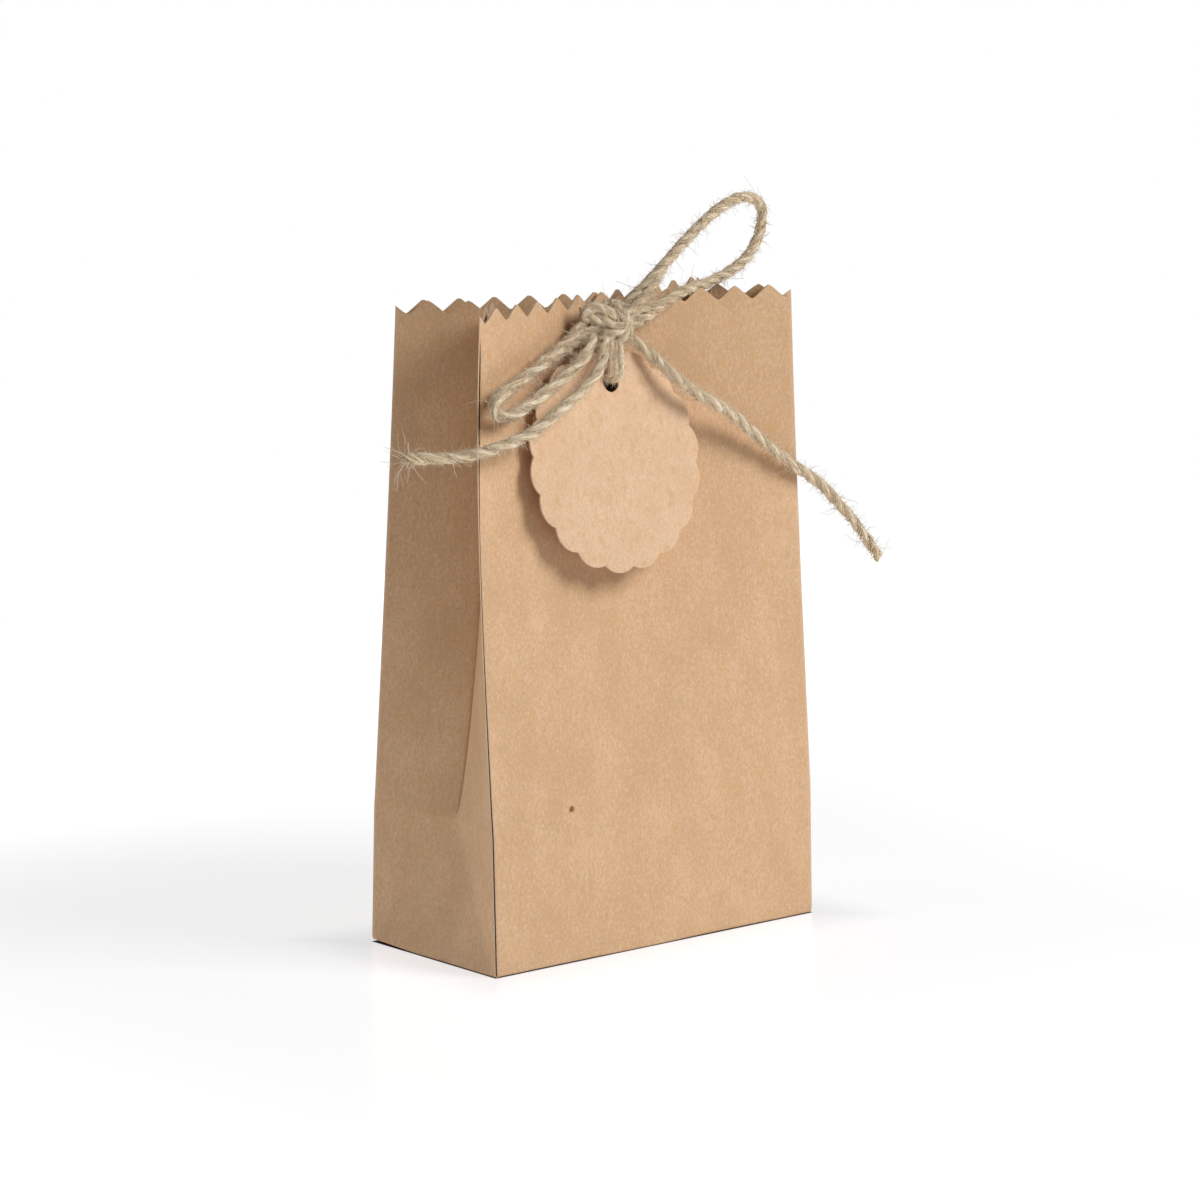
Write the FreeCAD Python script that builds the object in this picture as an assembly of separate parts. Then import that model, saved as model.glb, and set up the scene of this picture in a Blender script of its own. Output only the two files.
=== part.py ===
import FreeCAD, Part
import math
import os

# Small gift bag folded from one sheet of kraft card, tied shut with jute twine that carries a
# scalloped tag. Millimetres, +Z up, front towards -Y, origin at the middle of the base.

bagWidth = 100.0
bagDepth = 47.0
bagHeight = 152.0            # to the middle of the zigzag edge
card = 0.5                   # thickness of the bag's card

apexHeight = 33.0            # where the gusset's three creases meet
diagonalStart = 1.2          # the diagonal creases start this far from the corners
foldAtApex = 18.4            # how far the gusset halves are turned inwards there, degrees
foldAtTop = 49.0
foldGrowth = 0.8

pinchStart = 20.0            # above this the twine draws the middle of both panels inwards
pinchGrowth = 1.6
pinchGap = 1.0               # left between the two panels where the twine holds them
pinchRound = 0.12            # sharpness of the pinch, as a share of half the width

toothHeight = 3.2
frontTeeth = 11.5
gussetHalfTeeth = 2.5
frontToothPhase = 0.31       # shares of a pitch by which the zigzags are set off
gussetToothPhase = 0.33

glueFlapWidth = 12.0
glueFlapFoot = 19.0
glueFlapTop = 146.0
glueLine = 0.1
endFlapLength = 22.0
frontFlapLength = 33.5
backFlapLength = 33.5

tieHole = 4.0
tieHoleSpacing = 11.0
tieHoleDrop = 4.5            # from the middle of the zigzag down to the holes

twine = 2.8
knotSize = (13.6, 8.6, 9.6)
knotAt = FreeCAD.Vector(-2.5, -7.2, 147.0)

tagCard = 0.45
tagRadius = 26.6
tagScallops = 18
scallopDepth = 1.35
tagHole = 5.0
tagHoleInset = 8.3           # from the tips of the scallops to the middle of the hole
tagHoleAt = FreeCAD.Vector(-5.25, -11.9, 133.9)
tagRoll = 6.5                # degrees that the tag hangs askew in its own plane
tagLean = 11.3               # degrees that its lower end stands forward
tagTurn = 2.1                # degrees that its left side stands forward

# Routes of the twine, from where each stretch leaves the knot.
largeLoopRoute = [
    (2.4, -7.2, 150.0), (8.4, -7.6, 154.4), (17.0, -7.5, 161.2), (26.5, -7.0, 168.2),
    (36.0, -6.0, 173.2), (44.4, -5.2, 174.6), (49.4, -4.6, 171.4), (49.4, -4.0, 165.4),
    (45.4, -4.0, 159.4), (38.4, -4.8, 156.2), (30.2, -5.6, 154.0), (21.2, -6.8, 153.0),
    (13.4, -8.3, 150.2), (7.4, -8.8, 147.4), (2.8, -8.6, 146.0)]
smallLoopRoute = [
    (-7.4, -6.7, 148.6), (-13.0, -9.0, 145.6), (-20.8, -11.2, 142.0), (-30.8, -14.6, 138.7),
    (-38.4, -17.0, 136.2), (-43.0, -18.0, 134.8), (-46.0, -18.5, 132.8), (-46.0, -18.7, 130.2),
    (-43.0, -18.5, 129.0), (-38.0, -18.2, 130.0), (-30.8, -17.6, 133.2), (-20.8, -15.8, 137.7),
    (-12.2, -13.8, 142.6), (-8.0, -7.8, 145.8)]
leftTailRoute = [
    (-6.0, -10.2, 144.9), (-9.8, -15.4, 139.8), (-17.2, -17.6, 134.2), (-27.2, -19.4, 129.6),
    (-35.6, -20.6, 125.2), (-44.4, -21.0, 123.2), (-54.0, -20.8, 121.6), (-63.6, -20.2, 121.6),
    (-72.6, -19.4, 122.6)]
rightTailRoute = [
    (0.4, -8.6, 145.2), (5.0, -13.2, 140.6), (10.0, -16.6, 134.4), (17.4, -17.8, 129.4),
    (27.5, -17.2, 124.6), (37.5, -17.2, 116.9), (46.4, -18.3, 110.6), (56.4, -18.8, 104.6),
    (64.6, -19.0, 96.9), (70.6, -19.2, 90.5), (75.2, -19.4, 84.6)]
tagTieRoute = [
    (-3.2, -12.3, 142.8), (-4.4, -13.9, 139.2), (-5.1, -14.8, 136.1), (-5.2, -13.5, 134.5),
    (-5.2, -10.0, 134.6), (-5.0, -8.0, 136.2), (-4.3, -6.8, 138.8), (-3.7, -6.2, 141.4)]

halfWidth = bagWidth / 2
halfDepth = bagDepth / 2
bagTop = bagHeight + toothHeight / 2
tieHoleHeight = bagHeight - tieHoleDrop

lowLevels = [apexHeight * share for share in (0.0, 0.33, 0.66, 0.985)]
highLevels = [apexHeight + (bagTop + 1 - apexHeight) * share
              for share in (0.0, 0.14, 0.28, 0.42, 0.56, 0.7, 0.85, 1.0)]


# ---------------------------------------------------------------- shape of the tied bag

def foldAngle(z):
    """Turn of a gusset half at height z, in radians."""
    share = min(1.0, max(0.0, (z - apexHeight) / (bagHeight - apexHeight)))
    eased = math.sin(share * math.pi / 2) ** foldGrowth
    return math.radians(foldAtApex + (foldAtTop - foldAtApex) * eased)


def halfGap(z):
    """Distance of the corner creases from the middle plane."""
    if z < apexHeight:
        return halfDepth - halfDepth * (1 - math.cos(foldAngle(apexHeight))) * z / apexHeight
    return halfDepth * math.cos(foldAngle(z))


def pinch(z):
    """How far the middle of a panel is drawn inwards."""
    share = min(1.0, max(0.0, (z - pinchStart) / (bagHeight - pinchStart)))
    return (halfGap(bagHeight) - pinchGap / 2 - card) * share ** pinchGrowth


def cornerX(z):
    """Half the distance between the corner creases, which draw together as the panel bends."""
    return math.sqrt(halfWidth ** 2 - pinch(z) ** 2)


def panelY(x, z):
    """Outer face of the front panel."""
    share = abs(x) / cornerX(z)
    rise = math.hypot(share, pinchRound) - pinchRound
    full = math.hypot(1, pinchRound) - pinchRound
    return -halfGap(z) + pinch(z) * (1 - rise / full)


def loft(sections):
    wires = [Part.makePolygon(points + points[:1]) for points in sections]
    return Part.makeLoft(wires, True, True)


def prism(points, depth):
    return Part.Face(Part.makePolygon(points + points[:1])).extrude(depth)


def mirrored(shape, axis):
    return shape.mirror(FreeCAD.Vector(), axis)


acrossX = FreeCAD.Vector(1, 0, 0)
acrossY = FreeCAD.Vector(0, 1, 0)


# ---------------------------------------------------------------- card panels

def zigzagCutter(start, end, teeth, phase, place, depth):
    """Everything above a zigzag edge; place(along, z) gives a point of its drawing plane."""
    pitch = (end - start) / teeth
    low = bagHeight - toothHeight / 2
    points = []
    for index in range(-2, 2 * int(math.ceil(teeth)) + 4):
        along = start + (index / 2 + phase) * pitch
        points.append(place(along, bagTop if index % 2 else low))
    points.append(place(along, bagTop + 10))
    points.append(place(start - 2 * pitch, bagTop + 10))
    return prism(points, depth)


def panelSection(z):
    """Outline of the front panel at one height: two curves and two straight ends."""
    shares = [-1, -0.75, -0.5, -0.28, -0.12, 0, 0.12, 0.28, 0.5, 0.75, 1]
    outer = [FreeCAD.Vector(share * cornerX(z), panelY(share * cornerX(z), z), z)
             for share in shares]
    inner = [point + FreeCAD.Vector(0, card, 0) for point in outer]
    faces = []
    for points in (outer, inner[::-1]):
        curve = Part.BSplineCurve()
        curve.interpolate(points)
        faces.append(curve.toShape())
    ends = [Part.makeLine(outer[-1], inner[-1]), Part.makeLine(inner[0], outer[0])]
    return Part.Wire([faces[0], ends[0], faces[1], ends[1]])


def frontPanel():
    body = Part.makeLoft([panelSection(z) for z in lowLevels + highLevels], True, True)
    edge = cornerX(bagHeight)
    teeth = zigzagCutter(-edge, edge, frontTeeth, frontToothPhase,
                         lambda x, z: FreeCAD.Vector(x, -halfDepth - 5, z),
                         FreeCAD.Vector(0, halfDepth + 10, 0))
    body = body.cut(teeth)
    for side in (-1, 1):
        hole = Part.makeCylinder(tieHole / 2, halfDepth, FreeCAD.Vector(
            side * tieHoleSpacing / 2, -halfDepth / 2, tieHoleHeight), acrossY)
        body = body.cut(hole)
    return body


def creasePoint(z):
    """Inner end of the left front gusset half: on the diagonal crease, then on the valley."""
    push = halfDepth * math.sin(foldAngle(max(z, apexHeight)))
    if z >= apexHeight:
        return FreeCAD.Vector(-cornerX(z) + push, 0, z)
    share = z / apexHeight
    return FreeCAD.Vector(-cornerX(z) + push * share,
                          -(halfDepth - diagonalStart) * (1 - share), z)


def gussetDirection(z):
    corner = FreeCAD.Vector(-cornerX(z), -halfGap(z), z)
    return (creasePoint(z) - corner).normalize()


def mitre(z):
    """Step from the outer to the inner face at the crease."""
    along = gussetDirection(z)
    if z >= apexHeight:
        return FreeCAD.Vector(card / along.y, 0, 0)
    return FreeCAD.Vector(card, -card * math.tan(math.atan2(along.x, along.y) / 2), 0)


def gussetHalfSection(z):
    along = gussetDirection(z)
    start = FreeCAD.Vector(-cornerX(z), -halfGap(z), z) + along * (card / 2 / along.y)
    crease = creasePoint(z)
    return [start, crease, crease + mitre(z), start + FreeCAD.Vector(card / along.y, 0, 0)]


def gussetHalf(frontPanelShape):
    """The half of the left gusset between the front panel and the creases."""
    body = loft([gussetHalfSection(z) for z in lowLevels + highLevels])
    edge = halfGap(bagHeight)
    teeth = zigzagCutter(-edge, 0, gussetHalfTeeth, gussetToothPhase,
                         lambda y, z: FreeCAD.Vector(-halfWidth - 5, y, z),
                         FreeCAD.Vector(halfWidth, 0, 0))
    return body.cut(teeth).cut(frontPanelShape)


def gussetFoot():
    """The triangle below the creases."""
    sections = []
    for z in lowLevels:
        front = creasePoint(z)
        inner = front + mitre(z)
        back, innerBack = [FreeCAD.Vector(p.x, -p.y, z) for p in (front, inner)]
        sections.append([front, back, innerBack, inner])
    return loft(sections)


def glueFlap(frontPanelShape):
    """Strip folded from the front panel and glued behind the left gusset."""
    inside = [z for z in lowLevels + highLevels if glueFlapFoot < z < glueFlapTop]
    sections = []
    for z in [glueFlapFoot] + inside + [glueFlapTop]:
        along = gussetDirection(z)
        step = FreeCAD.Vector(card / along.y, 0, 0)
        outer = FreeCAD.Vector(-cornerX(z) + glueLine, -halfGap(z), z) + step
        starts = [edge + along * ((panelY(edge.x, z) + card / 2 + halfGap(z)) / along.y)
                  for edge in (outer, outer + step)]
        end = outer + along * glueFlapWidth
        sections.append([starts[0], end, end + step, starts[1]])
    return loft(sections).cut(frontPanelShape)


def sideEdge(layer):
    """Half the length of a base flap, which ends inside the leaning side walls."""
    return -creasePoint((layer + 1) * card).x - card / 3


def baseFlap(x0, x1, y0, y1, layer, walls):
    flap = Part.makeBox(x1 - x0, y1 - y0, card, FreeCAD.Vector(x0, y0, layer * card))
    for wall in walls:
        flap = flap.cut(wall)
    return flap


# ---------------------------------------------------------------- twine

def twineTube(route):
    """Straight runs joined by tangent arcs, each as large as its two runs allow."""
    points = [FreeCAD.Vector(*point) for point in route]
    edges = []
    radii = []
    last = points[0]
    for before, point, after in zip(points, points[1:], points[2:]):
        back = (before - point).normalize()
        ahead = (after - point).normalize()
        reach = 0.45 * min((before - point).Length, (after - point).Length)
        turn = math.pi - back.getAngle(ahead)
        radius = reach / math.tan(turn / 2)
        bisector = (back + ahead).normalize()
        middle = point + bisector * (radius / math.cos(turn / 2) - radius)
        arc = Part.Arc(point + back * reach, middle, point + ahead * reach)
        edges.append(Part.LineSegment(last, point + back * reach).toShape())
        edges.append(arc.toShape())
        radii.append(round(radius, 1))
        last = point + ahead * reach
    edges.append(Part.LineSegment(last, points[-1]).toShape())
    path = Part.Wire(edges)
    circle = Part.Circle(points[0], points[1] - points[0], twine / 2)
    tube = path.makePipeShell([Part.Wire(circle.toShape())], True, False)
    section = math.pi * twine ** 2 / 4
    print("  radii", radii, "length", round(path.Length, 1),
          "volume share", round(tube.Volume / section / path.Length, 3))
    return tube


def knot():
    ball = Part.makeSphere(1.0)
    size = FreeCAD.Matrix()
    size.scale(knotSize[0] / 2, knotSize[1] / 2, knotSize[2] / 2)
    return ball.transformGeometry(size).translate(knotAt)


def tieRoute():
    """Out of the knot, through both left holes, across the back and out of the right holes."""
    side = tieHoleSpacing / 2
    z = tieHoleHeight
    behind = -panelY(side, z) + twine / 2 + 0.3
    return [(-side + 1.6, knotAt.y + 1.4, z - 0.1), (-side, knotAt.y + 4.2, z),
            (-side, behind - 0.7, z), (-side + 1.7, behind + 0.8, z),
            (side - 1.7, behind + 0.8, z), (side, behind - 0.7, z),
            (side, knotAt.y + 4.2, z), (side - 2.6, knotAt.y + 1.4, z - 0.1)]


# ---------------------------------------------------------------- tag

def hangTag():
    """Scalloped disc with its hole, drawn flat about its centre and then hung."""
    def rim(radius, step):
        angle = 2 * math.pi * step / tagScallops
        return FreeCAD.Vector(radius * math.cos(angle), radius * math.sin(angle), 0)

    arcs = [Part.Arc(rim(tagRadius - scallopDepth, index), rim(tagRadius, index + 0.5),
                     rim(tagRadius - scallopDepth, index + 1)).toShape()
            for index in range(tagScallops)]
    holeUp = FreeCAD.Vector(0, tagRadius - tagHoleInset, 0)
    disc = Part.Face(Part.Wire(arcs)).extrude(FreeCAD.Vector(0, 0, tagCard))
    disc = disc.cut(Part.makeCylinder(tagHole / 2, tagCard, holeUp))
    disc.translate(FreeCAD.Vector(0, 0, -tagCard / 2) - holeUp)
    origin = FreeCAD.Vector()
    disc.rotate(origin, FreeCAD.Vector(0, 0, 1), -tagRoll)
    disc.rotate(origin, acrossX, 90 - tagLean)
    disc.rotate(origin, FreeCAD.Vector(0, 0, 1), tagTurn)
    disc.translate(tagHoleAt)
    return disc


# ---------------------------------------------------------------- assembly

os.makedirs("parts", exist_ok=True)

nodes = {}
nodes["front_panel"] = frontPanel()
nodes["back_panel"] = mirrored(nodes["front_panel"], acrossY)
nodes["left_gusset_front"] = gussetHalf(nodes["front_panel"])
nodes["left_gusset_back"] = mirrored(nodes["left_gusset_front"], acrossY)
nodes["left_gusset_foot"] = gussetFoot()
for piece in ("front", "back", "foot"):
    half = mirrored(nodes["left_gusset_" + piece], acrossX)
    nodes["right_gusset_" + piece] = half.cut(nodes["front_panel"]).cut(nodes["back_panel"])
nodes["glue_flap"] = glueFlap(nodes["front_panel"])

walls = [nodes[name] for name in nodes if name != "glue_flap"]
endEdge = halfDepth - card / 2
nodes["base_flap_front"] = baseFlap(
    -sideEdge(0), sideEdge(0), -endEdge, -endEdge + frontFlapLength, 0, walls)
nodes["base_flap_back"] = baseFlap(
    -sideEdge(1), sideEdge(1), endEdge - backFlapLength, endEdge, 1, walls)
nodes["base_flap_left"] = baseFlap(
    -sideEdge(2), -sideEdge(2) + endFlapLength, -endEdge, endEdge, 2, walls)
nodes["base_flap_right"] = baseFlap(
    sideEdge(2) - endFlapLength, sideEdge(2), -endEdge, endEdge, 2, walls)

nodes["bow_knot"] = knot()
routes = {"bow_loop_large": largeLoopRoute, "bow_loop_small": smallLoopRoute,
          "tail_left": leftTailRoute, "tail_right": rightTailRoute, "tie_strand": tieRoute()}
for name, route in routes.items():
    print(name)
    nodes[name] = twineTube(route)
print("tag_tie")
nodes["tag_tie"] = twineTube(tagTieRoute)
nodes["hang_tag"] = hangTag()

for name, shape in nodes.items():
    print(name, "solids", len(shape.Solids), "valid", shape.isValid(), "volume", round(shape.Volume, 1))
    shape.exportStep("parts/" + name + ".step")
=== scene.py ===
import math
import random

import bmesh
import bpy
from mathutils import Matrix, Vector, noise


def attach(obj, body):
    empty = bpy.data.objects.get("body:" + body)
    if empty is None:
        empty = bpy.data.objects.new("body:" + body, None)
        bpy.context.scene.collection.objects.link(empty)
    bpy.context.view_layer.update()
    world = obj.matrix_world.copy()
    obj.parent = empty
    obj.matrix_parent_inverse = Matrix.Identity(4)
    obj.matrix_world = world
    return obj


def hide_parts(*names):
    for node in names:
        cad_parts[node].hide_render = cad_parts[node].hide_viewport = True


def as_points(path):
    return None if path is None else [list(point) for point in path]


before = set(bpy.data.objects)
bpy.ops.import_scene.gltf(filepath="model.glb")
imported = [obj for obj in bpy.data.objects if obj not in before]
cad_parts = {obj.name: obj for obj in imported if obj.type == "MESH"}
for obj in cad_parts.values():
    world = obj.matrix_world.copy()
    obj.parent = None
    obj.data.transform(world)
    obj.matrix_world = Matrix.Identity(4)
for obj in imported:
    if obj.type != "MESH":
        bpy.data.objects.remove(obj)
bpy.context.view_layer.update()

mm = 0.001
chance = random.Random(11)

# ---- camera

viewpoint = {
    "azimuth": -40.5,
    "elevation": 9.66,
    "distance": 1.074,
    "target": (0.0016, 0, 0.0798),
    "lens": 135,
    "sensor": 36,
}


def makeCamera():
    turn, rise = math.radians(viewpoint["azimuth"]), math.radians(viewpoint["elevation"])
    back = Vector((math.sin(turn) * math.cos(rise), -math.cos(turn) * math.cos(rise), math.sin(rise)))
    data = bpy.data.cameras.new("camera")
    data.lens = viewpoint["lens"]
    data.sensor_width = viewpoint["sensor"]
    data.clip_end = 50
    camera = bpy.data.objects.new("camera", data)
    camera.location = Vector(viewpoint["target"]) + back * viewpoint["distance"]
    camera.rotation_euler = (-back).to_track_quat("-Z", "Y").to_euler()
    bpy.context.collection.objects.link(camera)
    bpy.context.scene.camera = camera


makeCamera()
bpy.context.scene.view_settings.view_transform = "Standard"
print("camera placed")

# ---- shader helpers


class Wire:
    # an output socket that can stand in a sum
    def __init__(self, graph, socket):
        self.graph = graph
        self.socket = socket

    def sum(self, operation, first, second):
        return self.graph.node("Math", {"operation": operation}, {0: first, 1: second})

    def __add__(self, other):
        return self.sum("ADD", self, other)

    def __radd__(self, other):
        return self.sum("ADD", other, self)

    def __sub__(self, other):
        return self.sum("SUBTRACT", self, other)

    def __rsub__(self, other):
        return self.sum("SUBTRACT", other, self)

    def __mul__(self, other):
        return self.sum("MULTIPLY", self, other)

    def __rmul__(self, other):
        return self.sum("MULTIPLY", other, self)


class Graph:
    def __init__(self, name):
        self.material = bpy.data.materials.new(name)
        self.material.use_nodes = True
        self.tree = self.material.node_tree
        self.tree.nodes.clear()

    def node(self, kind, settings=None, inputs=None, output=0):
        made = self.tree.nodes.new("ShaderNode" + kind)
        for key, value in (settings or {}).items():
            if key == "stops":
                while len(made.color_ramp.elements) < len(value):
                    made.color_ramp.elements.new(0.5)
                for stop, (place, colour) in zip(made.color_ramp.elements, value):
                    stop.position = place
                    stop.color = (*colour, 1)
            else:
                setattr(made, key, value)
        for key, value in (inputs or {}).items():
            if isinstance(value, Wire):
                self.tree.links.new(value.socket, made.inputs[key])
            else:
                made.inputs[key].default_value = value
        return Wire(self, made.outputs[output]) if made.outputs else made

    def blend(self, factor, first, second):
        first, second = [c if isinstance(c, Wire) else (*c, 1) for c in (first, second)]
        return self.node("Mix", {"data_type": "RGBA"}, {0: factor, 6: first, 7: second}, 2)

    def grains(self, place, stretch, scale, detail=2.0, rough=0.5):
        stretched = self.node("Mapping", None, {"Vector": place, "Scale": stretch})
        return self.node("TexNoise", None, {"Vector": stretched, "Scale": scale,
                                            "Detail": detail, "Roughness": rough})

    def band(self, value, low, high):
        return self.node("MapRange", {"interpolation_type": "SMOOTHSTEP"},
                         {"Value": value, "From Min": low, "From Max": high})

    def finish(self, inputs):
        shader = self.node("BsdfPrincipled", None, inputs)
        self.node("OutputMaterial", None, {"Surface": shader})
        return self.material


# ---- twine: two plies laid round each other, with loose fibres

twine = {
    "diameter": 2.8,
    "plyOffset": 0.6,
    "plyRadius": 0.73,
    "pitch": 8.4,
    # how far a ply strays from its helix, and how far apart the swings are
    "drift": 0.5,
    "driftLength": 9,
    "wander": 0.18,
    "wanderLength": 5,
    "unevenness": 0.22,
    "swellLength": 6,
    # bundles of fibre that show as ridges on a ply
    "lobes": 5,
    "lobeDepth": 0.07,
    "lobeTwist": 1.7,
    "fineLobes": 8,
    "fineLobeShare": 0.6,
    "fineLobeTwist": 2.9,
    "rough": 0.07,
    "roughLength": 1.1,
    "step": 0.42,
    "around": 14,
    "endShares": (0.55, 0.85),
    "openLength": 5,
    "mapLength": 10,
    "hairsPerMm": 11.0,
    "longHairsPerMm": 0.8,
    "fibresPerMm": 3.4,
    "hairRadius": 0.06,
    "fibreRadius": 0.09,
    "hairTaper": 0.55,
}

# lengths of the loose hairs, and how steeply they leave the strand
fuzz = {
    "down": {"size": (0.8, 2.4), "lift": (0.3, 1.1)},
    "long": {"size": (2.6, 6.5), "lift": (0.4, 1.2)},
    "laid": {"size": (4, 12), "turn": (0.6, 1.25), "lift": (1.12, 1.42), "points": 6},
    "root": 0.95,
    "bends": 4,
}

jute = {
    "dark": (0.35, 0.22, 0.105),
    "middle": (0.81, 0.625, 0.40),
    "pale": (1.0, 0.92, 0.75),
    "hair": (0.93, 0.82, 0.63),
    "roughness": 0.82,
}


def juteMaterial(name, colours):
    g = Graph(name)
    along = g.node("TexCoord", output=2)
    place = g.node("TexCoord", output=3)
    streaks = g.grains(along, (1.3, 7.0, 1.0), 1.6, 4.0, 0.62)
    fine = g.grains(along, (2.2, 21.0, 1.0), 2.4, 3.0, 0.6)
    patches = g.grains(place, (1, 1, 1), 130.0, 2.0)
    tone = streaks * 0.6 + fine * 0.34 + patches * 0.16 - 0.05
    colour = g.node("ValToRGB", {"stops": colours}, {"Fac": tone})
    bump = g.node("Bump", None, {"Strength": 0.85, "Distance": 0.00022,
                                 "Height": streaks * 0.6 + fine * 0.5})
    return g.finish({"Base Color": colour, "Roughness": jute["roughness"], "Normal": bump,
                     "Sheen Weight": 0.25, "Sheen Roughness": 0.5})


juteFinish = juteMaterial("jute", [(0.38, jute["dark"]), (0.49, jute["middle"]),
                                   (0.6, jute["pale"])])
hairFinish = juteMaterial("juteFibres", [(0.3, jute["middle"]), (0.62, jute["hair"])])


def smoothLine(route):
    curve = bpy.data.curves.new("route", "CURVE")
    curve.dimensions = "3D"
    spline = curve.splines.new("NURBS")
    spline.points.add(len(route) - 1)
    for knot, point in zip(spline.points, route):
        knot.co = (*(value * mm for value in point), 1)
    spline.order_u = 3
    spline.use_endpoint_u = True
    spline.resolution_u = 24
    holder = bpy.data.objects.new("route", curve)
    mesh = bpy.data.meshes.new_from_object(holder)
    points = [v.co.copy() for v in mesh.vertices]
    bpy.data.objects.remove(holder)
    bpy.data.curves.remove(curve)
    bpy.data.meshes.remove(mesh)
    return points


def evenly(points, step):
    along = [0.0]
    for a, b in zip(points, points[1:]):
        along.append(along[-1] + (b - a).length)
    count = max(4, round(along[-1] / step))
    line, k = [], 0
    for index in range(count + 1):
        target = along[-1] * index / count
        while k < len(points) - 2 and along[k + 1] < target:
            k += 1
        span = max(along[k + 1] - along[k], 1e-12)
        line.append(points[k].lerp(points[k + 1], min(1.0, (target - along[k]) / span)))
    return line, along[-1]


def carriedFrames(line):
    # a direction across the line that turns with it and doesn't spin
    frames = []
    across = None
    for index, point in enumerate(line):
        ahead = (line[min(index + 1, len(line) - 1)] - line[max(index - 1, 0)]).normalized()
        if across is None:
            across = ahead.orthogonal()
        across = (across - ahead * across.dot(ahead)).normalized()
        frames.append((point, ahead, across.copy(), ahead.cross(across)))
    return frames


def gridMesh(bm, columns, rows, place, closed=False, stretch=(1.0, 1.0)):
    # a flat grid whose points are moved to place(column, row); its map keeps the flat layout
    start = len(bm.verts)
    made = bmesh.ops.create_grid(bm, x_segments=columns, y_segments=rows, size=1)["verts"]
    spots = {v: (round((v.co.x + 1) / 2 * columns), round((v.co.y + 1) / 2 * rows)) for v in made}
    layer = bm.loops.layers.uv.verify()
    faces = {face for v in made for face in v.link_faces}
    for face in faces:
        for loop in face.loops:
            i, j = spots[loop.vert]
            loop[layer].uv = (j / rows * stretch[1], i / columns * stretch[0])
    for v, (i, j) in spots.items():
        v.co = place(i, j)
    if closed:
        seam = [v for v, (i, j) in spots.items() if i in (0, columns)]
        bmesh.ops.remove_doubles(bm, verts=seam, dist=1e-6)
    return spots


def addPly(bm, frames, length, centreOf, radiusOf):
    around = twine["around"]
    last = len(frames) - 1
    turned = carriedFrames([centreOf(index) for index in range(last + 1)])

    def place(i, j):
        point, ahead, across, side = turned[j]
        angle = 2 * math.pi * (i % around) / around
        radius = radiusOf(j, angle)
        fromEnd = min(j, last - j)
        if fromEnd < len(twine["endShares"]):
            radius *= twine["endShares"][fromEnd]
        return point + (across * math.cos(angle) + side * math.sin(angle)) * radius

    spots = gridMesh(bm, around, last, place, True, (1.0, length / (twine["mapLength"] * mm)))
    for edge in (0, last):
        ring = [v for v, (i, j) in spots.items() if v.is_valid and j == edge]
        bmesh.ops.contextual_create(bm, geom=ring)


def wriggle(*values):
    return noise.noise(Vector(values))


def scatter(spread):
    return Vector([chance.gauss(0, spread) for _ in range(3)])


def addStrand(bm, frames, length, seed, thickness=1.0, pitch=twine["pitch"], openEnd=0.0):
    # both plies of one strand; openEnd spreads them where it was cut
    last = len(frames) - 1
    for ply in (0, 1):
        def centreOf(index):
            point, ahead, across, side = frames[index]
            along = length * index / last
            drift = twine["drift"] * wriggle(along / (twine["driftLength"] * mm), seed, ply)
            angle = 2 * math.pi * along / (pitch * mm) + math.pi * ply + drift + seed
            wander = twine["wander"] * wriggle(along / (twine["wanderLength"] * mm), seed + 7, 0)
            away = twine["plyOffset"] * thickness * (1 + wander)
            away += openEnd * max(0.0, 1 - (length - along) / (twine["openLength"] * mm))
            return point + (across * math.cos(angle) + side * math.sin(angle)) * away * mm

        def radiusOf(index, angle):
            along = length * index / last
            swell = 1 + twine["unevenness"] * wriggle(along / (twine["swellLength"] * mm),
                                                      seed + 3, ply + 5)
            lobes = math.cos(twine["lobes"] * angle + along / (twine["lobeTwist"] * mm) + ply)
            lobes += twine["fineLobeShare"] * math.cos(
                twine["fineLobes"] * angle - along / (twine["fineLobeTwist"] * mm) + 2 * ply)
            rough = twine["rough"] * wriggle(along / (twine["roughLength"] * mm),
                                             2 * math.cos(angle), 2 * math.sin(angle) + seed)
            return twine["plyRadius"] * thickness * mm * (
                swell + twine["lobeDepth"] * lobes + rough)

        addPly(bm, frames, length, centreOf, radiusOf)


def hairMesh(name, hairs):
    # every hair is (points, radius)
    curve = bpy.data.curves.new(name, "CURVE")
    curve.dimensions = "3D"
    curve.bevel_depth = 1.0
    curve.bevel_resolution = 0
    curve.resolution_u = 3
    for points, radius in hairs:
        spline = curve.splines.new("NURBS")
        spline.points.add(len(points) - 1)
        for index, (knot, point) in enumerate(zip(spline.points, points)):
            knot.co = (*point, 1)
            knot.radius = radius * mm * (1 - twine["hairTaper"] * index / (len(points) - 1))
        spline.order_u = 3
        spline.use_endpoint_u = True
    holder = bpy.data.objects.new(name, curve)
    mesh = bpy.data.meshes.new_from_object(holder)
    bpy.data.objects.remove(holder)
    bpy.data.curves.remove(curve)
    bm = bmesh.new()
    bm.from_mesh(mesh)
    layer = bm.loops.layers.uv.verify()
    for face in bm.faces:
        face.smooth = True
        for loop in face.loops:
            loop[layer].uv = (loop.vert.co.z / (4 * mm), loop.vert.co.x / (2 * mm))
    bm.to_mesh(mesh)
    bm.free()
    return mesh


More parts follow.
